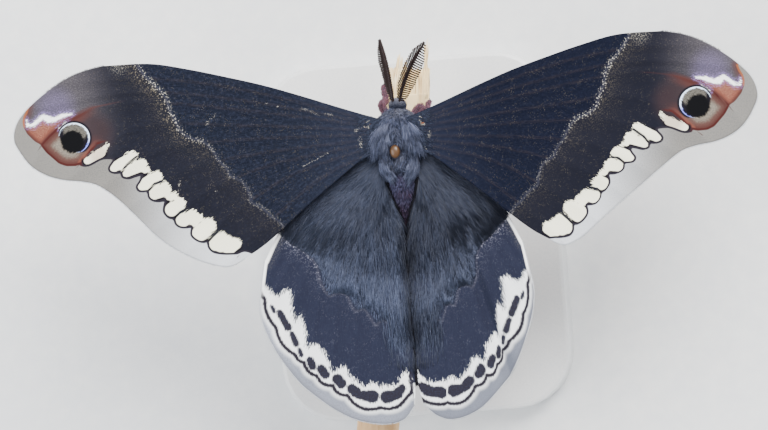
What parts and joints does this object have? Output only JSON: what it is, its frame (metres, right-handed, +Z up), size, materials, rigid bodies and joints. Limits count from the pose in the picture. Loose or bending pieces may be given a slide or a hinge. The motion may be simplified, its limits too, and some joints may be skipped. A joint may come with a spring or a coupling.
{
  "type": "promethea silkmoth",
  "caption": "Life-size display model of a male silkmoth, wings spread, gripping a broken twig that thin rods hold above a flat base.",
  "frame": {"origin": "centre of the stand base's flat underside", "axes": "+X to the moth's right, +Y towards its head, +Z up"},
  "size_m": [0.0886, 0.051, 0.033],
  "materials": {
    "body_coat": "soft dark hair",
    "abdomen_coat": "short maroon hair",
    "eye": "faceted gloss",
    "antenna": "fine dark feathering",
    "forewing": "powdery scales",
    "hindwing": "powdery scales and soft hair",
    "leg": "short maroon hair",
    "twig_wood": "bare weathered wood",
    "base_panel": "satin",
    "rod_steel": "brushed"
  },
  "bodies": {
    "root": {"thorax": "body_coat", "head": "body_coat", "abdomen": "abdomen_coat", "eye_left": "eye", "eye_right": "eye", "antenna_left": "antenna", "antenna_right": "antenna", "forewing_left": "forewing", "forewing_right": "forewing", "hindwing_left": "hindwing", "hindwing_right": "hindwing", "leg_fore_left": "leg", "leg_fore_right": "leg", "leg_mid_left": "leg", "leg_mid_right": "leg", "leg_hind_left": "leg", "leg_hind_right": "leg", "perch_twig": "twig_wood", "stand_base": "base_panel", "stand_rod_front": "rod_steel", "stand_rod_rear": "rod_steel"}
  },
  "joints": []
}
